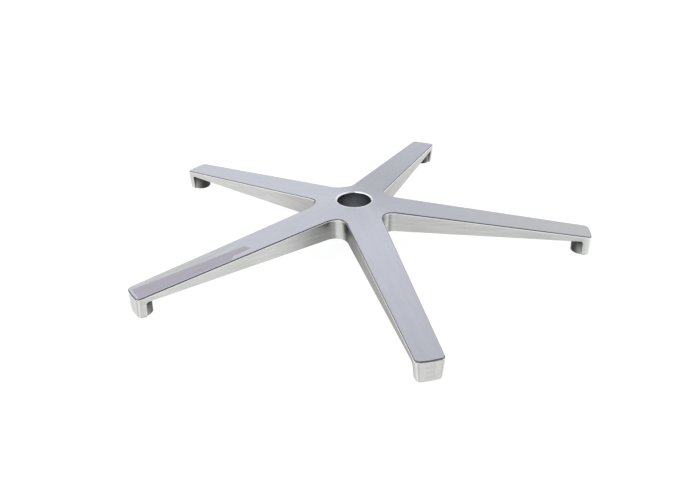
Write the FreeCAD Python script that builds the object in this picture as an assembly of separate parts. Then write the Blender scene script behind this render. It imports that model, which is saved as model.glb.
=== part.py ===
import FreeCAD, Part
import math
import os

# Five-star base of an office chair, one die casting in aluminium.
# Millimetres. Origin: centre of the gas lift socket's mouth. +Z is up, the first arm lies along +X.

V = FreeCAD.Vector

# Plan of the star
arm_count = 5
arm_reach = 350.0            # hub axis to the end face of an arm
root_half_width = 27.8       # half width of an arm's walls, run on to the hub axis
tip_half_width = 20.1        # half width at the end face
notch_radius = 19.0          # fillet in plan between two arms
tip_corner_radius = 5.0      # fillet in plan between a wall and the end face
end_bow_radius = 120.0       # end face is slightly convex in plan
wall_draft = 1.0             # degrees, the outer walls narrow downwards

# Top of the casting, from the socket's mouth outwards
dome_flat_radius = 29.5
dome_slope = 12.4            # degrees
dome_height = 12.0
arm_apex = 0.74              # where the planes of the arms' tops meet the hub axis
arm_slope = 7.45             # degrees, the arms fall towards the tips
top_edge_radius = 2.4

# Lower edge of the arms' walls
lower_edge_apex = -35.1      # where the planes of the lower edges meet the hub axis
lower_edge_slope = 2.96      # degrees
lower_edge_chamfer = 1.0

# Foot at the end of each arm
foot_drop = 76.0             # seat of the caster, below the mouth
foot_length = 14.0
foot_corner_radius = 3.5     # fillet around the seat
corner_share = 0.97          # of the drafted corner's radius at the seat, the most that this fillet takes
foot_hook_radius = 4.0
caster_circle_radius = 338.0
boss_radius = 15.0
boss_draft = 1.0
boss_edge_chamfer = 1.5

# Socket for the caster's 11 mm stem
stem_socket_diameter = 11.1
stem_socket_depth = 24.0
stem_socket_chamfer = 0.8
drill_point_angle = 118.0

# Hub and its tapered socket for the gas lift column
lift_mouth_diameter = 50.0
lift_taper = 1.0 / 20.0      # on the diameter
lift_mouth_chamfer = 1.25
lift_foot_chamfer = 1.0
hub_tube_length = 50.0
hub_tube_radius = 32.5
hub_tube_draft = 1.5
hub_tube_chamfer = 1.5

# Hollow underside
skin_thickness = 4.5
wall_thickness = 3.6         # at the lower edge
core_draft = 1.5             # degrees, the hollow widens downwards
hollow_reach = 316.0
hollow_corner_radius = 8.0
centre_rib_thickness = 3.2
cross_rib_thickness = 3.0
cross_rib_count = 3
cross_rib_first = 112.0
rib_setback = 1.5            # lower edge of the ribs above that of the walls
notch_web_thickness = 4.0

# Room that the cutting tools run past the faces they cut
past = 5.0

sector = 360.0 / arm_count
half_sector = math.radians(sector / 2)


def turned(shape, arm):
    """The same shape, moved from the first arm to another."""
    copy = shape.copy()
    copy.rotate(V(0, 0, 0), V(0, 0, 1), sector * arm)
    return copy


def revolved(corners):
    """A solid of revolution about the hub axis; each corner of its profile is (radius, z)."""
    outline = [V(x, 0, z) for x, z in corners]
    return Part.Face(Part.makePolygon(outline + outline[:1])).revolve(V(0, 0, 0), V(0, 0, 1), 360)


def star_wire(reach, corner, bow, inset, z):
    """Plan outline of the star, moved inwards by inset, at height z.

    Fillet centres stay where they are, so that two insets loft into planes and cones.
    """
    slope = (root_half_width - tip_half_width) / arm_reach
    lean = math.hypot(1, slope)
    normal = V(slope / lean, 1 / lean, 0)
    # Notch fillet: its centre lies on the line half way between two arms
    along = V(math.cos(half_sector), math.sin(half_sector), 0)
    notch_distance = (root_half_width / lean + notch_radius) / normal.dot(along)
    notch_centre = along * notch_distance
    # Tip fillet: inside the wall line, and inside the end's arc
    bow_centre = reach - bow
    a = 1 + slope ** 2
    level = root_half_width - corner * lean
    b = -2 * (bow_centre + slope * level)
    c = bow_centre ** 2 + level ** 2 - (bow - corner) ** 2
    u = (-b + math.sqrt(b ** 2 - 4 * a * c)) / (2 * a)
    tip_centre = V(u, level - slope * u, 0)
    from_bow = (tip_centre - V(bow_centre, 0, 0)).normalize()

    notch_now = notch_radius + inset
    corner_now = corner - inset
    bow_now = bow - inset
    wall_start = notch_centre - normal * notch_now
    wall_end = tip_centre + normal * corner_now
    corner_end = tip_centre + from_bow * corner_now
    corner_mid = tip_centre + (normal + from_bow).normalize() * corner_now
    end_mid = V(bow_centre + bow_now, 0, 0)
    notch_mid = notch_centre - along * notch_now

    def mirrored(p):
        return V(p.x, -p.y, 0)

    def placed(p, arm):
        angle = math.radians(sector * arm)
        x = p.x * math.cos(angle) - p.y * math.sin(angle)
        y = p.x * math.sin(angle) + p.y * math.cos(angle)
        return V(x, y, z)

    edges = []
    for arm in range(arm_count):
        def at(p, arm=arm):
            return placed(p, arm)
        other_side = [at(mirrored(p)) for p in (wall_start, wall_end, corner_mid, corner_end)]
        edges.append(Part.makeLine(other_side[0], other_side[1]))
        edges.append(Part.Arc(*other_side[1:]).toShape())
        edges.append(Part.Arc(other_side[3], at(end_mid), at(corner_end)).toShape())
        edges.append(Part.Arc(at(corner_end), at(corner_mid), at(wall_end)).toShape())
        edges.append(Part.makeLine(at(wall_end), at(wall_start)))
        following = placed(mirrored(wall_start), arm + 1)
        edges.append(Part.Arc(at(wall_start), at(notch_mid), following).toShape())
    return Part.Wire(edges)


def drafted_star(reach, corner, bow, sections):
    """A prism of the star's outline through sections, each one (z, inset)."""
    wires = [star_wire(reach, corner, bow, inset, z) for z, inset in sections]
    return Part.makeLoft(wires, True, True)


def leaning(inset, datum, draft, z):
    """Section at height z of a wall that has the inset at the datum and leans in downwards."""
    return z, inset + (datum - z) * math.tan(math.radians(draft))


def lower_edge(distance):
    """Height of an arm's lower edge at a distance along the arm."""
    return lower_edge_apex - math.tan(math.radians(lower_edge_slope)) * distance


def under_planes(apex, slope, bottom):
    """Everything under one sloping plane for each arm, all through one point on the hub axis."""
    rim = arm_reach + past
    low = apex - math.tan(math.radians(slope)) * rim
    summit = V(0, 0, apex)
    upper = []
    lower = []
    for arm in range(arm_count):
        angle = math.radians(sector * (arm + 0.5))
        distance = rim / math.cos(half_sector)
        upper.append(V(distance * math.cos(angle), distance * math.sin(angle), low))
        lower.append(V(distance * math.cos(angle), distance * math.sin(angle), bottom))
    faces = [Part.Face(Part.makePolygon(lower + lower[:1]))]
    for arm in range(arm_count):
        faces.append(Part.Face(Part.makePolygon([upper[arm - 1], upper[arm], summit, upper[arm - 1]])))
        side = [lower[arm - 1], lower[arm], upper[arm], upper[arm - 1], lower[arm - 1]]
        faces.append(Part.Face(Part.makePolygon(side)))
    solid = Part.Solid(Part.Shell(faces))
    if solid.Volume < 0:
        solid.reverse()
    return solid


def hub_dome():
    """The hub's flat rim, and the low cone that carries it on the arms' tops."""
    bottom = -dome_height
    foot_radius = dome_flat_radius + dome_height / math.tan(math.radians(dome_slope))
    cone = revolved([(0, 0), (dome_flat_radius, 0), (foot_radius, bottom), (0, bottom)])
    within = drafted_star(hollow_reach, hollow_corner_radius, end_bow_radius,
                          [(-foot_drop, wall_thickness), (past, wall_thickness)])
    return cone.common(within)


def casting_blank():
    """The star without its hollow: the arms down to their lower edge, and the foot blocks."""
    star = drafted_star(arm_reach, tip_corner_radius, end_bow_radius,
                        [leaning(0, 0, wall_draft, z) for z in (-foot_drop, past)])
    top = under_planes(arm_apex, arm_slope, -foot_drop)
    below = under_planes(lower_edge_apex, lower_edge_slope, -foot_drop - past)
    inner = arm_reach - foot_length
    block = Part.makeBox(foot_length + past, 4 * tip_half_width, foot_drop,
                         V(inner, -2 * tip_half_width, -foot_drop))
    for arm in range(arm_count):
        below = below.cut(turned(block, arm))
    return star.common(top).cut(below).Solids[0]


def edge_middle(edge):
    return edge.valueAt((edge.FirstParameter + edge.LastParameter) / 2)


def face_normals(shape, edge):
    """Outward normals of the two faces that meet at an edge, at its middle."""
    middle = edge_middle(edge)
    normals = []
    for face in shape.ancestorsOfType(edge, Part.Face):
        u, v = face.Surface.parameter(middle)
        normals.append(face.normalAt(u, v))
    return normals


def sharp_edges(shape):
    """Edges of a shape with the place of their middle and their two normals, the lower one first."""
    found = []
    for edge in shape.Edges:
        normals = face_normals(shape, edge)
        if len(normals) == 2 and normals[0].getAngle(normals[1]) > math.radians(6):
            normals.sort(key=lambda n: n.z)
            found.append((edge, edge_middle(edge), normals[0], normals[1]))
    return found


def is_wall(normal):
    return abs(normal.z) < 0.3


def faces_hub(normal, place):
    return normal.dot(V(place.x, place.y, 0).normalize()) < -0.9


def round_hooks(shape):
    """Concave fillet between the inner face of each foot block and the arm's lower edge."""
    edges = []
    for edge, place, low, high in sharp_edges(shape):
        if low.z < -0.9 and faces_hub(high, place) and place.z > -foot_drop + foot_hook_radius:
            if math.hypot(place.x, place.y) > arm_reach / 2:
                edges.append(edge)
    return shape.makeFillet(foot_hook_radius, edges)


def round_feet(shape):
    """Bottom edge of each foot block, around its sides and its end."""
    edges = []
    for edge, place, low, high in sharp_edges(shape):
        if abs(place.z + foot_drop) < 0.01 and is_wall(high) and not faces_hub(high, place):
            edges.append(edge)
    corner_at_seat = tip_corner_radius - foot_drop * math.tan(math.radians(wall_draft))
    return shape.makeFillet(min(foot_corner_radius, corner_share * corner_at_seat), edges)


def break_lower_edges(shape):
    """Lower edge of the walls, up the hooks and around the inner edges of the foot blocks."""
    edges = [edge for edge, place, low, high in sharp_edges(shape) if high.z < 0.9]
    return shape.makeChamfer(lower_edge_chamfer, edges)


def round_top_edge(shape):
    edges = [edge for edge, place, low, high in sharp_edges(shape) if high.z > 0.9 and is_wall(low)]
    return shape.makeFillet(top_edge_radius, edges)


def turned_solid(corners):
    """A solid of revolution about the caster socket's axis in the first arm."""
    shape = revolved(corners)
    shape.translate(V(caster_circle_radius, 0, 0))
    return shape


def caster_boss():
    """The round boss behind the foot block, left open towards the block that it grows from."""
    lean = math.tan(math.radians(boss_draft))
    top = lower_edge(caster_circle_radius) + past
    boss = turned_solid([
        (0, top),
        (boss_radius + (foot_drop + top) * lean, top),
        (boss_radius, -foot_drop + boss_edge_chamfer),
        (boss_radius - boss_edge_chamfer, -foot_drop),
        (0, -foot_drop),
    ])
    block = Part.makeBox(boss_radius, 4 * boss_radius, foot_drop,
                         V(arm_reach - foot_length / 2, -2 * boss_radius, -foot_drop))
    return boss.cut(block)


def stem_socket():
    """Blind drilled hole from below, with a chamfered mouth and a drill point."""
    radius = stem_socket_diameter / 2
    end = -foot_drop + stem_socket_depth
    point = radius / math.tan(math.radians(drill_point_angle / 2))
    return turned_solid([
        (0, -foot_drop - past),
        (radius + stem_socket_chamfer + past, -foot_drop - past),
        (radius, -foot_drop + stem_socket_chamfer),
        (radius, end),
        (0, end + point),
    ])


def hub_tube():
    lean = math.tan(math.radians(hub_tube_draft))
    top = -skin_thickness / 2
    return revolved([
        (0, top),
        (hub_tube_radius + (hub_tube_length + top) * lean, top),
        (hub_tube_radius, -hub_tube_length + hub_tube_chamfer),
        (hub_tube_radius - hub_tube_chamfer, -hub_tube_length),
        (0, -hub_tube_length),
    ])


def lift_socket():
    """Tapered through hole with a chamfer at both ends."""
    def radius_at(z):
        return (lift_mouth_diameter + lift_taper * z) / 2

    mouth = -lift_mouth_chamfer
    foot = -hub_tube_length + lift_foot_chamfer
    return revolved([
        (0, past),
        (radius_at(mouth) + lift_mouth_chamfer + past, past),
        (radius_at(mouth), mouth),
        (radius_at(foot), foot),
        (radius_at(foot) + lift_foot_chamfer + past, -hub_tube_length - past),
        (0, -hub_tube_length - past),
    ])


def rib(start, end, thickness):
    """A rib along +X, thicker towards the skin by the draft of the hollow."""
    low = lower_edge(arm_reach) - past
    spread = (past - low) * math.tan(math.radians(core_draft))
    section = Part.makePolygon([
        V(start, -thickness / 2, low),
        V(start, thickness / 2, low),
        V(start, thickness / 2 + spread, past),
        V(start, -thickness / 2 - spread, past),
        V(start, -thickness / 2, low),
    ])
    return Part.Face(section).extrude(V(end - start, 0, 0))


def rib_lattice():
    """Centre rib and cross ribs of each arm, and the webs from the hub to the notches."""
    ribs = rib(0, arm_reach, centre_rib_thickness)
    pitch = (hollow_reach - cross_rib_first) / cross_rib_count
    for number in range(cross_rib_count):
        cross = rib(-2 * root_half_width, 2 * root_half_width, cross_rib_thickness)
        cross.rotate(V(0, 0, 0), V(0, 0, 1), 90)
        cross.translate(V(cross_rib_first + number * pitch, 0, 0))
        ribs = ribs.fuse(cross)
    web = rib(0, cross_rib_first / 2, notch_web_thickness)
    web.rotate(V(0, 0, 0), V(0, 0, 1), sector / 2)
    ribs = ribs.fuse(web)
    lattice = ribs
    for arm in range(1, arm_count):
        lattice = lattice.fuse(turned(ribs, arm))
    return lattice


def hollow():
    """The underside's hollow: a shallow layer over the ribs, and the cells between them."""
    datum = lower_edge(arm_reach / 2)
    inset = wall_thickness - datum * math.tan(math.radians(wall_draft))
    core = drafted_star(hollow_reach, hollow_corner_radius, arm_reach,
                        [leaning(inset, datum, -core_draft, z) for z in (-foot_drop, past)])
    core = core.common(under_planes(arm_apex - skin_thickness, arm_slope, -foot_drop)).cut(hub_tube())
    below_ribs = under_planes(lower_edge_apex + rib_setback, lower_edge_slope, -foot_drop - past)
    layer = core.common(below_ribs)
    cells = core.cut(below_ribs).cut(rib_lattice())
    return layer, cells


def star_base():
    body = round_hooks(casting_blank())
    body = round_feet(body)
    body = break_lower_edges(body)
    body = round_top_edge(body)
    body = body.fuse(hub_dome())
    layer, cells = hollow()
    body = body.cut(layer)
    body = body.cut(cells)
    body = body.fuse(hub_tube())
    for arm in range(arm_count):
        body = body.fuse(turned(caster_boss(), arm))
    for arm in range(arm_count):
        body = body.cut(turned(stem_socket(), arm))
    body = body.cut(lift_socket())
    return body.removeSplitter().Solids[0]


if __name__ == "__main__":
    os.makedirs("parts", exist_ok=True)
    star_base().exportStep("parts/star_base.step")
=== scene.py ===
# Cast star base of a swivel chair: the dressed casting on a pale floor, soft studio light
import bpy
import bmesh
import math
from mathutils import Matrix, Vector


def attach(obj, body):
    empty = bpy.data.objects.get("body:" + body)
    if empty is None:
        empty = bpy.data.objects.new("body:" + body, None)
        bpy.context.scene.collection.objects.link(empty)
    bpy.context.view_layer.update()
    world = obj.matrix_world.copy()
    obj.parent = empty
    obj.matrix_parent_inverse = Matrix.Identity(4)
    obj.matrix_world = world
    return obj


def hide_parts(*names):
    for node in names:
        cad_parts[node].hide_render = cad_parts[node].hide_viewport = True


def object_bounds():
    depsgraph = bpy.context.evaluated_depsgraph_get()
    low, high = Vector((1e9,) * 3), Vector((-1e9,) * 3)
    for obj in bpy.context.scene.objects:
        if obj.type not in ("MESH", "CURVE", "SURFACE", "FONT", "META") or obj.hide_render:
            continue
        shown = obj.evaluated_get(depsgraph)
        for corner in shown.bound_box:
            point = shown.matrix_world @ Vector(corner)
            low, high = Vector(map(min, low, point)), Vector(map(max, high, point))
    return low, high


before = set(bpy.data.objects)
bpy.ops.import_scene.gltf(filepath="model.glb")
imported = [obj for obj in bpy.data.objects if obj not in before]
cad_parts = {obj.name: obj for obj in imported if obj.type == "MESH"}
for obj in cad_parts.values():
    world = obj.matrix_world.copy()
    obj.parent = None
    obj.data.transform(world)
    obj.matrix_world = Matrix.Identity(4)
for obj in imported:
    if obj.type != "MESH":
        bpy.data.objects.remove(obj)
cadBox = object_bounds()
scene = bpy.context.scene

# The casting: one shell, cleaned up from the solid's own triangles, in metres and degrees

casting = {
    "armCount": 5,
    "armReach": 0.350,
    "rootHalfWidth": 0.0278,      # half an arm's width, at the hub axis and at its end
    "tipHalfWidth": 0.0201,
    "notchRadius": 0.019,         # the round between two arms
    "wallDraft": 1.0,
    "armSlope": 7.45,             # fall of the arms' tops
    "armApex": 0.00074,           # where the arms' tops meet the hub axis
    "domeSlope": 12.4,            # the low cone under the hub's rim
    "domeStart": 0.0295,
    "ridgeBlend": 0.011,          # how wide the tops of two arms run into each other
    "domeBlend": 0.0016,          # depth over which the dome runs into the arms
    "mergeGap": 2e-6,             # corners of the loose triangles closer than this are one
    "cutSnap": 1e-6,              # and a cut takes corners this near as its own
    "flatAngle": 0.2,             # triangles of one flat are joined
    "crispAngle": 30.0,           # edges above this stay crisp
    "dieCorner": 0.0050,          # the tips' corners in plan, as cast
    "dressedCorner": 0.0072,      # and after the dressing, which rounds them further
    "endAtCorner": 0.3493,        # how far out the end face is beside its corners
    "topDepth": 0.048,            # what lies above this at a tip belongs to the top
    "footTaper": 5.0,             # dressed off each side of a foot, on top of the draft
    "taperFrom": -0.050,
    "footInside": 0.3375,         # the foot's face towards the hub ends before this
    "bossHalfWidth": 0.0155,      # the boss there keeps its width
    "socketHalfWidth": 0.006,
    "footHalfWidth": 0.019,
    "gridStart": 0.020,           # the hub's top is cut into a fine grid from here
    "gridReach": 0.132,           # to here
    "gridStep": 0.004,
    "gridFine": 0.09,             # and twice as coarse past this
    "gridHalfWidth": 0.044,
    "gridNormal": 0.95,           # only faces that look up more than this are cut
    "gridDepth": 0.055,
    "wallCuts": (0.060, 0.068, 0.076, 0.086, 0.098, 0.112, 0.130, 0.155,   # along each arm
                 0.190, 0.240, 0.290, 0.335),
    "notchCuts": (-0.0135, -0.0105, -0.0085, -0.0065, -0.004, 0,           # across each notch
                  0.004, 0.0065, 0.0085, 0.0105, 0.0135),
    "notchEnd": 0.075,            # a notch's walls lie this near the hub axis
    "hubRim": 0.0290,             # the hub's flat rim ends here
    "softNormal": 0.95,           # corners of faces that look up more than this are smoothed
    "softSpread": 0.93,           # and so are their neighbours' sides of those corners
}

# Where each finish lies: distances along an arm or from the outline, and how faces look

zones = {
    "wallSkin": 0.0031,           # faces this near the outline are outside faces
    "footSkin": 0.0075,           # the same for the tapered foot
    "footStart": 0.3350,          # the foot block lies from here out
    "bossStart": 0.3225,
    "stemCircle": 0.338,          # the stem sockets and the metal close around them
    "stemSurround": 0.0125,
    "socketRadius": 0.0262,
    "rimDepth": 0.0013,           # the chamfer at the lift socket's mouth
    "topNormal": 0.96,            # faces that look up more than this take the top's finish
    "edgeNormal": 0.16,           # the rounding between top and wall, down to this
    "wideEdge": (4, -1),          # arm and side, where the painted reflection lines of the rounding reach one facet further in
    "wideEdgeNormal": 0.995,
    "wideEdgeStart": 0.10,
    "bandNormal": 0.98,           # the mauve band keeps to the flat of its top
    "wallNormal": 0.5,            # walls look up or down less than this
    "bossNormal": 0.8,
    "underNormal": -0.9,          # faces that look down more than this are underside
    "seatNormal": -0.25,          # the foot's seat and its rounding
    "footFront": 0.25,            # a foot's faces that look out along the arm more than this
    "footBack": -0.5,             # what looks back at the hub more than this is no part of a foot
}
halfPitch = math.pi / casting["armCount"]
wallSlope = (casting["rootHalfWidth"] - casting["tipHalfWidth"]) / casting["armReach"]
wallLean = math.hypot(1, wallSlope)
notchCentre = (casting["rootHalfWidth"] / wallLean + casting["notchRadius"]) / (
    (wallSlope * math.cos(halfPitch) + math.sin(halfPitch)) / wallLean)


def turnedTo(number, x, y):
    # how far a place is along and across an arm
    turn = number * 2 * halfPitch
    return x * math.cos(turn) + y * math.sin(turn), -x * math.sin(turn) + y * math.cos(turn)


def armOf(x, y):
    # which arm a place belongs to, and how far it is along and across that arm
    number = round(math.atan2(y, x) / (2 * halfPitch)) % casting["armCount"]
    return (number, *turnedTo(number, x, y))


def armAt(face):
    return armOf(*face.calc_center_median().xy)


def armWays(number):
    # the directions along and across an arm
    turn = number * 2 * halfPitch
    return Vector((math.cos(turn), math.sin(turn), 0)), Vector((-math.sin(turn), math.cos(turn), 0))


def smoothTop(x, y):
    # height of the hub's top with its creases run together
    slope = math.tan(math.radians(casting["armSlope"]))
    width = casting["ridgeBlend"]
    total = 0.0
    for number in range(casting["armCount"]):
        total += math.exp(turnedTo(number, x, y)[0] / width)
    arms = casting["armApex"] - slope * width * math.log(total)
    coneSlope = math.tan(math.radians(casting["domeSlope"]))
    cone = -coneSlope * (math.hypot(x, y) - casting["domeStart"])
    depth = casting["domeBlend"]
    peak = max(arms, cone)
    return peak + depth * math.log(math.exp((arms - peak) / depth) + math.exp((cone - peak) / depth))


def smoothNormal(x, y):
    step = 0.0004
    dx = (smoothTop(x + step, y) - smoothTop(x - step, y)) / (2 * step)
    dy = (smoothTop(x, y + step) - smoothTop(x, y - step)) / (2 * step)
    return Vector((-dx, -dy, 1)).normalized()


def outlineInset(along, across):
    # how far inside the star's outline a place is, x and y being turned to the line between two arms
    across = abs(across)
    x = along * math.cos(halfPitch) + across * math.sin(halfPitch)
    y = along * math.sin(halfPitch) - across * math.cos(halfPitch)
    reachAngle = math.pi / 2 - halfPitch - math.atan(wallSlope)
    if x < notchCentre and math.atan2(abs(y), notchCentre - x) < reachAngle:
        return math.hypot(x - notchCentre, y) - casting["notchRadius"]
    wall = (casting["rootHalfWidth"] - wallSlope * along - across) / wallLean
    return min(wall, casting["armReach"] - along)


print("casting: merging the solid's triangles")
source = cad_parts["star_base"]
shell = bmesh.new()
shell.from_mesh(source.data)
bmesh.ops.remove_doubles(shell, verts=shell.verts, dist=casting["mergeGap"])
bmesh.ops.dissolve_degenerate(shell, dist=casting["mergeGap"], edges=shell.edges)
bmesh.ops.dissolve_limit(shell, angle_limit=math.radians(casting["flatAngle"]),
                         verts=shell.verts, edges=shell.edges)


def topFaces(number):
    return [face for face in shell.faces
            if face.normal.z > casting["gridNormal"]
            and face.calc_center_median().z > -casting["gridDepth"]
            and armAt(face)[0] == number]


def wallFaces():
    return [face for face in shell.faces
            if abs(face.normal.z) < zones["wallNormal"]
            and outlineInset(*armAt(face)[1:]) < zones["wallSkin"]]


def cutFaces(faces, point, way):
    # the faces with their edges and corners, each once and in the same order every run
    edges = dict.fromkeys(edge for face in faces for edge in face.edges)
    corners = dict.fromkeys(corner for face in faces for corner in face.verts)
    bmesh.ops.bisect_plane(shell, geom=[*faces, *edges, *corners], dist=casting["cutSnap"],
                           plane_co=point, plane_no=way)


def cornerShare(x, y, inset):
    # by how much a place in a tip's corner moves towards the middle of the rounder corner
    size = casting["dressedCorner"] - inset
    middle = casting["dressedCorner"] - casting["dieCorner"]
    radius = casting["dieCorner"] - inset
    angle = math.atan2(y, x)
    straight = size / max(math.cos(angle), math.sin(angle))
    if min(math.cos(angle), math.sin(angle)) * straight < middle:
        return size / straight
    toArc = middle * (math.cos(angle) + math.sin(angle))
    return size / (toArc + math.sqrt(toArc ** 2 - 2 * middle ** 2 + radius ** 2))


def dressTip(number):
    # cuts the rounder corners' ends into a tip, then moves what lies in those corners
    alongWay, acrossWay = armWays(number)
    size = casting["dressedCorner"]
    outMiddle = casting["endAtCorner"] - size
    sideMiddle = casting["rootHalfWidth"] - wallSlope * casting["endAtCorner"] - size * wallLean
    extra = (size - casting["dieCorner"]) / 2
    cuts = [(alongWay * (outMiddle + step), alongWay) for step in (0, extra)]
    for step in (0, extra):
        cuts += [(acrossWay * side * (sideMiddle + step), acrossWay) for side in (1, -1)]
    for point, way in cuts:
        near = []
        for face in shell.faces:
            reach = max(armOf(*corner.co.xy)[1] for corner in face.verts)
            if reach > outMiddle and armAt(face)[0] == number:
                near.append(face)
        cutFaces(near, point, way)
    fall = math.tan(math.radians(casting["armSlope"]))
    lean = math.tan(math.radians(casting["wallDraft"]))
    for corner in shell.verts:
        arm, along, across = armOf(*corner.co.xy)
        x, y = along - outMiddle, abs(across) - sideMiddle
        if arm == number and min(x, y) > casting["cutSnap"]:
            moved = cornerShare(x, y, -corner.co.z * lean) - 1
            corner.co += alongWay * x * moved + acrossWay * math.copysign(y, across) * moved
            if corner.co.z > -casting["topDepth"]:
                corner.co.z -= fall * x * moved


def taperFoot(number):
    # the sides of a foot move in with depth, its boss and socket stay
    acrossWay = armWays(number)[1]
    slope = math.tan(math.radians(casting["footTaper"]))
    for corner in shell.verts:
        arm, along, across = armOf(*corner.co.xy)
        depth = casting["taperFrom"] - corner.co.z
        if arm == number and along > zones["footStart"] and depth > 0:
            atBack = along < casting["footInside"]
            kept = casting["bossHalfWidth"] if atBack else casting["socketHalfWidth"]
            share = min(max((abs(across) - kept) / (casting["footHalfWidth"] - kept), 0), 1)
            corner.co -= acrossWay * math.copysign(depth * slope * share, across)


print("casting: rounder corners at the dressed tips")
for number in range(casting["armCount"]):
    dressTip(number)
    taperFoot(number)

print("casting: fine grid over the hub's top")
for number in range(casting["armCount"]):
    alongWay, acrossWay = armWays(number)
    cuts = []
    place = casting["gridStart"]
    while place < casting["gridReach"]:
        cuts.append((alongWay * place, alongWay))
        place += casting["gridStep"] * (1 if place < casting["gridFine"] else 2)
    steps = round(casting["gridHalfWidth"] / casting["gridStep"])
    for step in range(-steps, steps + 1):
        cuts.append((acrossWay * (step * casting["gridStep"]), acrossWay))
    for point, way in cuts:
        cutFaces(topFaces(number), point, way)

print("casting: cuts over the walls, for their tones")
for number in range(casting["armCount"]):
    alongWay = armWays(number)[0]
    for place in casting["wallCuts"]:
        here = [face for face in wallFaces() if armAt(face)[0] == number]
        cutFaces(here, alongWay * place, alongWay)
    sideways = armWays(number + 0.5)[1]
    for place in casting["notchCuts"]:
        near = [face for face in wallFaces()
                if face.calc_center_median().xy.length < casting["notchEnd"]]
        cutFaces(near, sideways * place, sideways)

# One arm carries a darker, mauve band on its top, from its tip to about half way. Its outline and the
# greyer zone beside it are lines from one place (along, across) to another, in millimetres.

band = {
    "arm": 3,
    "cutFrom": 150,               # nothing nearer the hub is cut
    "start": 170,                 # or takes the band's finish
    "lines": {
        "upper": ((346.3, -9.9), (181.8, 0.1)),
        "end": ((181.8, 0.1), (177.9, 10.5)),
        "strip": ((177.9, 11.8), (204.7, 12.6)),
        "bite": ((204.7, 12.6), (211.5, 19.5)),
        "rim": ((200.0, 19.6), (346.0, 16.4)),
        "tip": ((344.5, 5.0), (344.5, -5.0)),
        "zone": ((202.0, -21.6), (188.8, -13.3)),
        "zoneEnd": ((188.8, -13.3), (186.0, -0.2)),
    },
}


def bandPoint(along, across):
    alongWay, acrossWay = armWays(band["arm"])
    return (alongWay * along + acrossWay * across) / 1000


def bandSide(name, along, across):
    # negative on the side of a line where the band lies
    (u0, v0), (u1, v1) = band["lines"][name]
    return (u1 - u0) * (across - v0) - (v1 - v0) * (along - u0)


# the darker, mauve band on one arm's top
print("casting: the buffed band")
for start, end in band["lines"].values():
    first, second = bandPoint(*start), bandPoint(*end)
    run = (second - first).normalized()
    faces = [face for face in topFaces(band["arm"])
             if face.calc_center_median().xy.length > band["cutFrom"] / 1000]
    cutFaces(faces, first, Vector((-run.y, run.x, 0)))

# the finishes in the order of the material slots
slots = ("topSatin", "sideBrushed", "footPolished", "boreMachinedShade", "rimTurnedHighlight", "underCast", "bossCastReflection",
         "topBand", "topBeside", "edgePaintedReflection")


def topFinish(face, number, along, across):
    u, v = along * 1000, across * 1000
    if number != band["arm"] or u <= band["start"] or face.normal.z <= zones["bandNormal"]:
        return "topSatin"
    inside = all(bandSide(name, u, v) < 0 for name in ("upper", "end", "rim", "tip"))
    if inside and (bandSide("strip", u, v) < 0 or bandSide("bite", u, v) < 0):
        return "topBand"
    inZone = bandSide("zone", u, v) < 0 and bandSide("zoneEnd", u, v) < 0
    return "topBeside" if inZone and bandSide("upper", u, v) > 0 else "topSatin"


def finishOf(face):
    middle = face.calc_center_median()
    up = face.normal.z
    number, along, across = armOf(middle.x, middle.y)
    outward = turnedTo(number, face.normal.x, face.normal.y)[0]
    inset = outlineInset(along, across)
    axisDistance = math.hypot(middle.x, middle.y)
    pastStem = math.hypot(along - zones["stemCircle"], across) > zones["stemSurround"]
    atFoot = along > zones["footStart"] and outward > zones["footBack"] and pastStem
    skin = zones["footSkin"] if atFoot else zones["wallSkin"]
    side = (number, math.copysign(1, across))
    wide = side == zones["wideEdge"] and along > zones["wideEdgeStart"]
    edgeEnd = zones["wideEdgeNormal"] if wide else zones["topNormal"]
    # the rounding along the outline takes painted reflection lines
    if zones["edgeNormal"] < up < edgeEnd and inset < skin:
        return "edgePaintedReflection"
    if up > zones["edgeNormal"] and axisDistance > zones["socketRadius"]:
        return topFinish(face, number, along, across)
    # the socket's turned mouth takes a painted highlight, its bore painted shade
    if axisDistance < zones["socketRadius"]:
        return "rimTurnedHighlight" if middle.z > -zones["rimDepth"] else "boreMachinedShade"
    if inset < skin and up > zones["underNormal"]:
        polished = atFoot and (outward > zones["footFront"] or up < zones["seatNormal"])
        return "footPolished" if polished else "sideBrushed"
    # the bosses' inboard sides take a painted reflection
    if along > zones["bossStart"] and abs(up) < zones["bossNormal"] and pastStem:
        return "bossCastReflection"
    return "underCast"


for face in shell.faces:
    face.smooth = True
    face.material_index = slots.index(finishOf(face))
for edge in shell.edges:
    crisp = len(edge.link_faces) != 2 or edge.calc_face_angle(0) >= math.radians(casting["crispAngle"])
    edge.smooth = not crisp

mesh = bpy.data.meshes.new("casting")
shell.to_mesh(mesh)
shell.free()
piece = bpy.data.objects.new("casting", mesh)
scene.collection.objects.link(piece)

print("casting: soft shading")
weighted = piece.modifiers.new("weighted", "WEIGHTED_NORMAL")
weighted.keep_sharp = True
weighted.weight = 50
mesh = bpy.data.meshes.new_from_object(piece.evaluated_get(bpy.context.evaluated_depsgraph_get()))
piece.modifiers.remove(weighted)
piece.data = mesh


def onTop(face, limit):
    if slots[face.material_index] != "topSatin" or face.normal.z <= limit:
        return False
    return math.hypot(face.center.x, face.center.y) > casting["hubRim"]


softened = set()
for face in mesh.polygons:
    if onTop(face, casting["softNormal"]):
        softened.update(face.vertices)
normals = [Vector(corner.vector) for corner in mesh.corner_normals]
for face in mesh.polygons:
    if onTop(face, casting["softSpread"]):
        for corner in face.loop_indices:
            index = mesh.loops[corner].vertex_index
            if index in softened:
                place = mesh.vertices[index].co
                normals[corner] = smoothNormal(place.x, place.y)
mesh.normals_split_custom_set(normals)

# Painted light and shade on the casting: how much each face's colour is darkened or lifted

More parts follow.
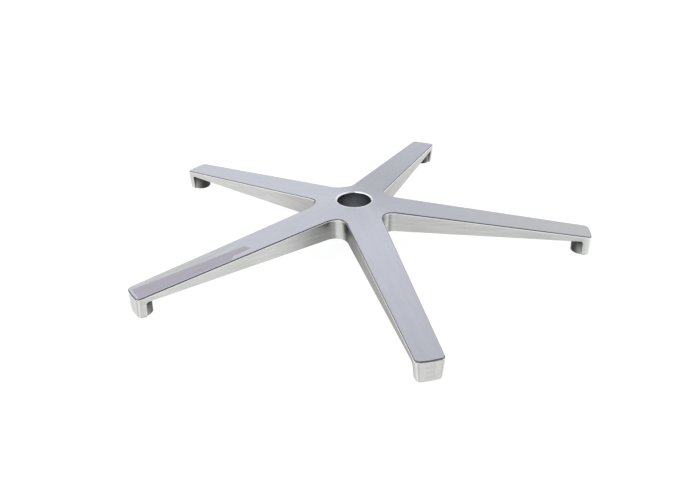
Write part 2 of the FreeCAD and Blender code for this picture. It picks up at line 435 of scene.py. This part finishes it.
tone = {
    "walls": {                                # painted reflections and shade on an arm's side: levels at the root, half way and the tip
        (0, -1): (0.83, 0.82, 0.82),
        (1, -1): (0.70, 0.76, 0.82),
        (2, 1): (0.70, 0.90, 0.94),
        (3, 1): (0.44, 0.98, 0.99),
        (4, -1): (0.10, 0.39, 0.44),
    },
    "plainWall": (0.72, 1.0, 1.04),
    "rootRun": (0.066, 0.150),
    "tipRun": (0.150, 0.330),
    "notchLight": 0.95,                       # a painted highlight band down the middle of a notch
    "notchDull": 0.50,                        # between two bands of painted shade
    "lightRun": (0.0045, 0.0075),
    "dullRun": (0.0085, 0.0120),
    "notchReach": (0.064, 0.070),             # where a notch's bands run into the walls
    "top": (0.86, 0.79, 1.04, 0.96, 1.03),    # painted light on each arm's top near the hub, then at its tip
    "topTip": (0.92, 0.90, 1.03, 0.97, 0.93),
    "topRun": (0.150, 0.330),
    "armBlend": (0.12, 0.88),                 # shares of the turn from one arm to the next
    "edgeUpper": 0.60,                        # the painted reflection lines down the rounding, from the top
    "edgeDark": 0.22,
    "edgeLight": 1.20,
    "edgeRise": (0.85, 0.42),                 # how much their faces look up where they change
    # painted light and shade on each foot: brighter on its ridge, darker at its corners and seat
    "foot": (1.07, 0.90, 1.00, 0.90, 0.91),
    "footRidge": 1.16,
    "ridgeOutward": (0.55, 0.85),             # how much the ridge looks out along the arm
    "footCorner": 0.86,
    "cornerOutward": 0.97,
    "footSeat": 0.72,
    "footRun": (0.334, 0.345),
    # painted shade in the lift socket, darkest at its mouth
    "boreMouth": 0.36,
    "boreRun": (0.003, 0.013),
    "bossDark": 0.10,
    "bossGain": 0.80,
    "bossRun": (0.3240, 0.3350),              # painted reflection: a boss grows lighter outwards and downwards
    "bossFall": (0.052, 0.074),
    "greyArm": 0,                             # painted reflection: this arm's top turns grey along this run
    "greyRun": (0.10, 0.30),
    "grainShift": 0.3,                        # moves the grain from arm to arm
}


def stepped(value, low, high):
    x = min(max((value - low) / (high - low), 0), 1)
    return x * x * (3 - 2 * x)


# painted reflections and shade along a wall, with a painted highlight band between shaded ones down each
# notch
def wallTone(number, along, across):
    root, even, tip = tone["walls"].get((number, 1 if across > 0 else -1), tone["plainWall"])
    level = root + (even - root) * stepped(along, *tone["rootRun"])
    level += (tip - even) * stepped(along, *tone["tipRun"])
    level += (tone["foot"][number] - level) * stepped(along, *tone["footRun"])
    offset = abs(along * math.sin(halfPitch) - abs(across) * math.cos(halfPitch))
    light, dull = tone["notchLight"], tone["notchDull"]
    inNotch = light + (dull - light) * stepped(offset, *tone["lightRun"])
    inNotch += (root - dull) * stepped(offset, *tone["dullRun"])
    return inNotch + (level - inNotch) * stepped(math.hypot(along, across), *tone["notchReach"])


def edgeTone(rise):
    # painted reflections down the rounding: a dull line, a dark line, then a bright one above the wall
    dullEnd, darkEnd = tone["edgeRise"]
    if rise > dullEnd:
        return tone["edgeUpper"]
    return tone["edgeDark"] if rise > darkEnd else tone["edgeLight"]


# painted light and shade on a foot's faces
def footTone(face):
    number = armOf(face.center.x, face.center.y)[0]
    outward = turnedTo(number, face.normal.x, face.normal.y)[0]
    low, high = tone["ridgeOutward"]
    level = tone["foot"][number]
    if face.normal.z < zones["seatNormal"]:
        level *= tone["footSeat"]
    elif low < outward < high:
        level *= tone["footRidge"]
    elif outward < tone["cornerOutward"]:
        level *= tone["footCorner"]
    return level


def topTone(x, y):
    # painted light on the tops: runs softly from one arm's level into the next around the hub
    turn = math.atan2(y, x) / (2 * halfPitch)
    number = math.floor(turn)
    share = stepped(turn - number, *tone["armBlend"])
    outward = stepped(math.hypot(x, y), *tone["topRun"])
    levels = []
    for arm in (number % casting["armCount"], (number + 1) % casting["armCount"]):
        levels.append(tone["top"][arm] * (1 - outward) + tone["topTip"][arm] * outward)
    return levels[0] + (levels[1] - levels[0]) * share


# the painted light and shade at a corner of a face, by its finish
def shadeAt(face, place):
    finish = slots[face.material_index]
    number, along, across = armOf(place.x, place.y)
    if finish == "topSatin":
        return topTone(place.x, place.y)
    if finish == "edgePaintedReflection":
        return edgeTone(face.normal.z)
    if finish == "footPolished":
        return footTone(face)
    if finish == "sideBrushed":
        return wallTone(number, along, across)
    if finish == "boreMachinedShade":
        return tone["boreMouth"] + (1 - tone["boreMouth"]) * stepped(-place.z, *tone["boreRun"])
    if finish == "bossCastReflection":
        lit = stepped(along, *tone["bossRun"]) * stepped(-place.z, *tone["bossFall"])
        return tone["bossDark"] + tone["bossGain"] * lit
    return 1.0


print("casting: grain and tones")
# each corner keeps its place along and across its own arm, for the grain
grain = mesh.attributes.new("grain", "FLOAT_VECTOR", "CORNER")
for face in mesh.polygons:
    number = armOf(face.center.x, face.center.y)[0]
    for corner in face.loop_indices:
        place = mesh.vertices[mesh.loops[corner].vertex_index].co
        along, across = turnedTo(number, place.x, place.y)
        grain.data[corner].vector = (along, across, place.z + number * tone["grainShift"])

# and its painted light and shade and the grey of a painted reflection, both made before either is
# fetched, because a new attribute moves the others
for name in ("shade", "grey"):
    mesh.attributes.new(name, "FLOAT", "CORNER")
shade, grey = mesh.attributes["shade"], mesh.attributes["grey"]
for face in mesh.polygons:
    for corner in face.loop_indices:
        place = mesh.vertices[mesh.loops[corner].vertex_index].co
        arm, along, across = armOf(place.x, place.y)
        grey.data[corner].value = stepped(along, *tone["greyRun"]) if arm == tone["greyArm"] else 0
        shade.data[corner].value = shadeAt(face, place)

# Finishes, and what the patterns of all of them share

texture = {
    "streaks": (4.0, 0.6),        # the noise's detail and roughness
    "clouds": (22.0, 3.0, 0.5),   # its scale, detail and roughness
    "noiseRange": (0.3, 0.7),     # where most of a noise's values lie
    "bumpDepth": 0.0001,
}


def newFinish(name, values):
    # a metal with its base colour, roughness and shine set on the shader itself
    finish = bpy.data.materials.new(name)
    finish.use_nodes = True
    nodes, links = finish.node_tree.nodes, finish.node_tree.links
    shader = nodes["Principled BSDF"]
    shader.inputs["Base Color"].default_value = (*values["colour"], 1)
    shader.inputs["Metallic"].default_value = 1
    shader.inputs["Roughness"].default_value = values["roughness"]
    return finish, nodes, links, shader


def pattern(nodes, links, source, scale, noiseScale, detail, rough):
    # a noise read along the arm, squeezed or stretched by scale
    mapping = nodes.new("ShaderNodeMapping")
    mapping.inputs["Scale"].default_value = scale
    noise = nodes.new("ShaderNodeTexNoise")
    noise.inputs["Scale"].default_value = noiseScale
    noise.inputs["Detail"].default_value = detail
    noise.inputs["Roughness"].default_value = rough
    links.new(source, mapping.inputs["Vector"])
    links.new(mapping.outputs["Vector"], noise.inputs["Vector"])
    return noise.outputs["Fac"]


def spread(nodes, links, value, low, high):
    # turns a noise into a range
    span = nodes.new("ShaderNodeMapRange")
    span.inputs["From Min"].default_value = texture["noiseRange"][0]
    span.inputs["From Max"].default_value = texture["noiseRange"][1]
    span.inputs["To Min"].default_value = low
    span.inputs["To Max"].default_value = high
    links.new(value, span.inputs["Value"])
    return span.outputs["Result"]


def tinted(nodes, links, value, dark, light):
    ramp = nodes.new("ShaderNodeMix")
    ramp.data_type = "RGBA"
    ramp.inputs["A"].default_value = (*dark, 1)
    ramp.inputs["B"].default_value = (*light, 1)
    links.new(value, ramp.inputs["Factor"])
    return ramp.outputs["Result"]


def armPlace(nodes):
    place = nodes.new("ShaderNodeAttribute")
    place.attribute_name = "grain"
    return place.outputs["Vector"]


def objectPlace(nodes):
    return nodes.new("ShaderNodeTexCoord").outputs["Object"]


def raised(nodes, links, shader, value, strength, distance):
    bump = nodes.new("ShaderNodeBump")
    bump.inputs["Strength"].default_value = strength
    bump.inputs["Distance"].default_value = distance
    links.new(value, bump.inputs["Height"])
    links.new(bump.outputs["Normal"], shader.inputs["Normal"])


def shaded(nodes, links, colour):
    # the painted light and shade kept with the mesh darken or lift the colour
    level = nodes.new("ShaderNodeAttribute")
    level.attribute_name = "shade"
    times = nodes.new("ShaderNodeVectorMath")
    times.operation = "SCALE"
    links.new(colour, times.inputs[0])
    links.new(level.outputs["Fac"], times.inputs["Scale"])
    return times.outputs["Vector"]


def greyed(nodes, links, colour, target):
    # painted reflection: one arm's top turns greyer towards its tip
    share = nodes.new("ShaderNodeAttribute")
    share.attribute_name = "grey"
    turned = nodes.new("ShaderNodeMix")
    turned.data_type = "RGBA"
    turned.inputs["B"].default_value = (*target, 1)
    links.new(colour, turned.inputs["A"])
    links.new(share.outputs["Fac"], turned.inputs["Factor"])
    return turned.outputs["Result"]


def paintedHighlightRing(nodes, links, colour, inner, outer, bright):
    # a painted highlight ring around the hub axis, between two radii
    flat = nodes.new("ShaderNodeVectorMath")
    flat.operation = "MULTIPLY"
    flat.inputs[1].default_value = (1, 1, 0)
    radius = nodes.new("ShaderNodeVectorMath")
    radius.operation = "LENGTH"
    within = nodes.new("ShaderNodeMath")
    within.operation = "COMPARE"
    within.inputs[1].default_value = (inner + outer) / 2
    within.inputs[2].default_value = (outer - inner) / 2
    links.new(objectPlace(nodes), flat.inputs[0])
    links.new(flat.outputs["Vector"], radius.inputs[0])
    links.new(radius.outputs["Value"], within.inputs[0])
    ring = nodes.new("ShaderNodeMix")
    ring.data_type = "RGBA"
    ring.inputs["B"].default_value = (*bright, 1)
    links.new(colour, ring.inputs["A"])
    links.new(within.outputs["Value"], ring.inputs["Factor"])
    return ring.outputs["Result"]


# Each finish: its colour and roughness without a pattern, what its clouds and streaks run between,
# and how far both are squeezed along and across the arm
finishes = {
    # the top: its blue tint is a painted reflection of the sky, its ring a painted highlight at the
    # socket's mouth
    "topSatin": {
        "colour": (0.57, 0.59, 0.65), "dark": (0.555, 0.575, 0.635), "light": (0.585, 0.605, 0.665),
        "roughness": 0.32, "rough": (0.27, 0.37), "relief": 0.10,
        "grain": (8, 260, 8), "grainScale": 12.0, "clouds": (1, 9, 1),
        "ring": (0.0260, 0.0272, (0.98, 0.98, 0.98)), "grey": (0.59, 0.60, 0.60), "toned": True},
    "sideBrushed": {
        "colour": (0.62, 0.63, 0.61), "dark": (0.57, 0.58, 0.56), "light": (0.68, 0.685, 0.66),
        "roughness": 0.30, "rough": (0.24, 0.38), "relief": 0.16,
        "grain": (8, 8, 420), "grainScale": 10.0, "clouds": (1.2, 1.2, 12), "toned": True},
    "footPolished": {
        "colour": (0.67, 0.67, 0.66), "dark": (0.64, 0.64, 0.63), "light": (0.70, 0.70, 0.69),
        "roughness": 0.26, "rough": (0.22, 0.30), "relief": 0.03,
        "grain": (6, 6, 60), "grainScale": 8.0, "clouds": (2, 2, 3), "toned": True},
    # the bore: its dark colour is painted shade inside the socket
    "boreMachinedShade": {
        "colour": (0.275, 0.29, 0.32), "dark": (0.25, 0.265, 0.29), "light": (0.30, 0.315, 0.35),
        "roughness": 0.45, "rough": (0.38, 0.52), "relief": 0.15,
        "grain": (20, 20, 900), "grainScale": 6.0, "clouds": (4, 4, 4), "toned": True},
    # the socket's turned mouth: its near-white colour is partly the turned metal, partly a painted
    # highlight
    "rimTurnedHighlight": {
        "colour": (0.90, 0.91, 0.92), "dark": (0.87, 0.88, 0.89), "light": (0.93, 0.94, 0.95),
        "roughness": 0.18, "rough": (0.15, 0.24), "relief": 0.05,
        "grain": (60, 60, 60), "grainScale": 6.0, "clouds": (2, 2, 2)},
    "underCast": {
        "colour": (0.42, 0.43, 0.44), "dark": (0.34, 0.345, 0.35), "light": (0.48, 0.49, 0.50),
        "roughness": 0.52, "rough": (0.45, 0.62), "relief": 0.5,
        "grain": (90, 90, 90), "grainScale": 10.0, "clouds": (2, 2, 2)},
    # the bosses' inboard sides: a cast grey under a painted reflection, dark inboard, lighter outwards
    # and down
    "bossCastReflection": {
        "colour": (0.40, 0.41, 0.40), "dark": (0.36, 0.37, 0.36), "light": (0.44, 0.45, 0.44),
        "roughness": 0.45, "rough": (0.38, 0.52), "relief": 0.3,
        "grain": (90, 90, 90), "grainScale": 8.0, "clouds": (2, 2, 2), "toned": True},
    "topBand": {
        "colour": (0.42, 0.40, 0.46), "dark": (0.40, 0.38, 0.44), "light": (0.45, 0.43, 0.49),
        "roughness": 0.32, "rough": (0.27, 0.37), "relief": 0.10,
        "grain": (8, 260, 8), "grainScale": 12.0, "clouds": (1, 12, 1)},
    "topBeside": {
        "colour": (0.56, 0.575, 0.59), "dark": (0.48, 0.495, 0.505), "light": (0.62, 0.635, 0.645),
        "roughness": 0.32, "rough": (0.27, 0.37), "relief": 0.10,
        "grain": (8, 260, 8), "grainScale": 12.0, "clouds": (0.6, 16, 1)},
    # the rounding between top and wall: its bright colour, with the dark lines of the mesh's tones, is
    # painted reflection
    "edgePaintedReflection": {
        "colour": (0.80, 0.81, 0.83), "dark": (0.77, 0.78, 0.80), "light": (0.83, 0.84, 0.86),
        "roughness": 0.12, "rough": (0.10, 0.15), "relief": 0.04,
        "grain": (8, 260, 8), "grainScale": 12.0, "clouds": (1, 3, 1), "toned": True},
}


def castingFinish(name, values, place):
    # streaks along the grain for roughness and relief, soft clouds for the colour
    finish, nodes, links, shader = newFinish(name, values)
    where = place(nodes)
    streaks = pattern(nodes, links, where, values["grain"], values["grainScale"], *texture["streaks"])
    clouds = pattern(nodes, links, where, values["clouds"], *texture["clouds"])
    colour = tinted(nodes, links, spread(nodes, links, clouds, 0, 1), values["dark"], values["light"])
    # the painted highlight ring, the grey of a painted reflection, then the painted light and shade kept
    # with the mesh
    if "ring" in values:
        colour = paintedHighlightRing(nodes, links, colour, *values["ring"])
    if "grey" in values:
        colour = greyed(nodes, links, colour, values["grey"])
    if "toned" in values:
        colour = shaded(nodes, links, colour)
    links.new(colour, shader.inputs["Base Color"])
    links.new(spread(nodes, links, streaks, *values["rough"]), shader.inputs["Roughness"])
    raised(nodes, links, shader, streaks, values["relief"], texture["bumpDepth"])
    return finish


print("casting: finishes")
for name in slots:
    where = objectPlace if name in ("boreMachinedShade", "rimTurnedHighlight", "underCast", "bossCastReflection") else armPlace
    mesh.materials.append(castingFinish(name, finishes[name], where))
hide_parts("star_base")
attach(piece, "root")

# The floor: dark to the lights, so that shadows stay faint, and pale to the camera and in reflections

ground = {"halfSize": 4.0, "diffuse": 0.22, "glow": 0.91}


def makeFloor():
    floorMesh = bpy.data.meshes.new("floor")
    maker = bmesh.new()
    bmesh.ops.create_grid(maker, x_segments=1, y_segments=1, size=ground["halfSize"])
    bmesh.ops.translate(maker, verts=maker.verts, vec=(0, 0, cadBox[0][2]))
    maker.to_mesh(floorMesh)
    maker.free()
    floor = bpy.data.objects.new("floor", floorMesh)
    scene.collection.objects.link(floor)
    finish = bpy.data.materials.new("floorPale")
    finish.use_nodes = True
    nodes, links = finish.node_tree.nodes, finish.node_tree.links
    nodes.remove(nodes["Principled BSDF"])
    body = nodes.new("ShaderNodeBsdfDiffuse")
    body.inputs["Color"].default_value = (*[ground["diffuse"]] * 3, 1)
    glow = nodes.new("ShaderNodeEmission")
    rays = nodes.new("ShaderNodeLightPath")
    seen = nodes.new("ShaderNodeMath")
    seen.operation = "MAXIMUM"
    strength = nodes.new("ShaderNodeMath")
    strength.operation = "MULTIPLY"
    strength.inputs[1].default_value = ground["glow"]
    links.new(rays.outputs["Is Camera Ray"], seen.inputs[0])
    links.new(rays.outputs["Is Glossy Ray"], seen.inputs[1])
    links.new(seen.outputs[0], strength.inputs[0])
    links.new(strength.outputs[0], glow.inputs["Strength"])
    total = nodes.new("ShaderNodeAddShader")
    links.new(body.outputs[0], total.inputs[0])
    links.new(glow.outputs[0], total.inputs[1])
    links.new(total.outputs[0], nodes["Material Output"].inputs["Surface"])
    floorMesh.materials.append(finish)


print("stage: floor, room and lamp")
makeFloor()

# Light: a bright room all round, darker overhead and near the floor, brighter from the left

room = {
    "low": (0.80, 0.81, 0.83),
    "middle": (1.00, 1.00, 1.01),
    "overhead": (0.16, 0.17, 0.19),
    "lowEnd": 0.20,               # heights, 0 level and 1 straight up
    "middleStart": 0.40,
    "middleEnd": 0.80,
    "overheadStart": 0.94,
    "left": 1.12,
    "right": 0.90,
}
softBox = {
    "place": (-0.9, -1.2, 2.2),
    "target": (0, 0, 0),
    "size": (1.4, 1.4),
    "power": 6,
    "colour": (1.0, 0.99, 0.98),
}


def makeRoom():
    # the camera sees plain white, everything else the room
    world = bpy.data.worlds.new("room")
    scene.world = world
    world.use_nodes = True
    nodes, links = world.node_tree.nodes, world.node_tree.links
    backdrop = nodes["Background"]
    place = nodes.new("ShaderNodeTexCoord")
    split = nodes.new("ShaderNodeSeparateXYZ")
    links.new(place.outputs["Generated"], split.inputs[0])
    heights = nodes.new("ShaderNodeValToRGB")
    heights.color_ramp.interpolation = "EASE"
    stops = heights.color_ramp.elements
    stops[0].position, stops[0].color = room["lowEnd"], (*room["low"], 1)
    stops[1].position, stops[1].color = room["overheadStart"], (*room["overhead"], 1)
    for height in (room["middleStart"], room["middleEnd"]):
        stop = stops.new(height)
        stop.color = (*room["middle"], 1)
    links.new(split.outputs["Z"], heights.inputs["Fac"])
    across = nodes.new("ShaderNodeMapRange")
    across.inputs["From Min"].default_value = -1
    across.inputs["To Min"].default_value = room["left"]
    across.inputs["To Max"].default_value = room["right"]
    links.new(split.outputs["X"], across.inputs["Value"])
    links.new(heights.outputs["Color"], backdrop.inputs["Color"])
    links.new(across.outputs["Result"], backdrop.inputs["Strength"])
    white = nodes.new("ShaderNodeBackground")
    white.inputs["Color"].default_value = (1, 1, 1, 1)
    rays = nodes.new("ShaderNodeLightPath")
    choose = nodes.new("ShaderNodeMixShader")
    links.new(rays.outputs["Is Camera Ray"], choose.inputs["Fac"])
    links.new(backdrop.outputs[0], choose.inputs[1])
    links.new(white.outputs[0], choose.inputs[2])
    links.new(choose.outputs[0], nodes["World Output"].inputs["Surface"])


def makeLamp(name, values):
    light = bpy.data.lights.new(name, "AREA")
    light.shape = "RECTANGLE"
    light.size, light.size_y = values["size"]
    light.energy = values["power"]
    light.color = values["colour"]
    lamp = bpy.data.objects.new(name, light)
    lamp.location = values["place"]
    way = Vector(values["target"]) - Vector(values["place"])
    lamp.rotation_euler = way.to_track_quat("-Z", "Y").to_euler()
    scene.collection.objects.link(lamp)


makeRoom()
makeLamp("softBox", softBox)

# Camera, at the photograph's angle

shot = {
    "azimuth": 3.47,
    "elevation": 29.31,
    "roll": -0.36,
    "distance": 1.18295,
    "target": (0.00261, -0.15223, 0.0),
    "focal": 894.65,              # in pixels of a picture this wide
    "width": 700,
    "sensor": 36,                 # millimetres
}


def makeCamera():
    turn, rise = math.radians(shot["azimuth"]), math.radians(shot["elevation"])
    back = Vector((math.sin(turn) * math.cos(rise), -math.cos(turn) * math.cos(rise), math.sin(rise)))
    data = bpy.data.cameras.new("camera")
    data.lens = shot["focal"] / shot["width"] * shot["sensor"]
    data.sensor_width = shot["sensor"]
    camera = bpy.data.objects.new("camera", data)
    camera.location = Vector(shot["target"]) + back * shot["distance"]
    look = back.to_track_quat("Z", "Y").to_matrix().to_4x4()
    right = (-back).cross(Vector((0, 0, 1))).normalized()
    up = right.cross(-back)
    lean = math.radians(shot["roll"])
    side = right * math.cos(lean) + up * math.sin(lean)
    head = -right * math.sin(lean) + up * math.cos(lean)
    for row in range(3):
        look[row][0], look[row][1], look[row][2] = side[row], head[row], back[row]
    camera.rotation_euler = look.to_euler()
    scene.collection.objects.link(camera)
    scene.camera = camera


print("stage: camera")
makeCamera()
scene.view_settings.view_transform = "Standard"
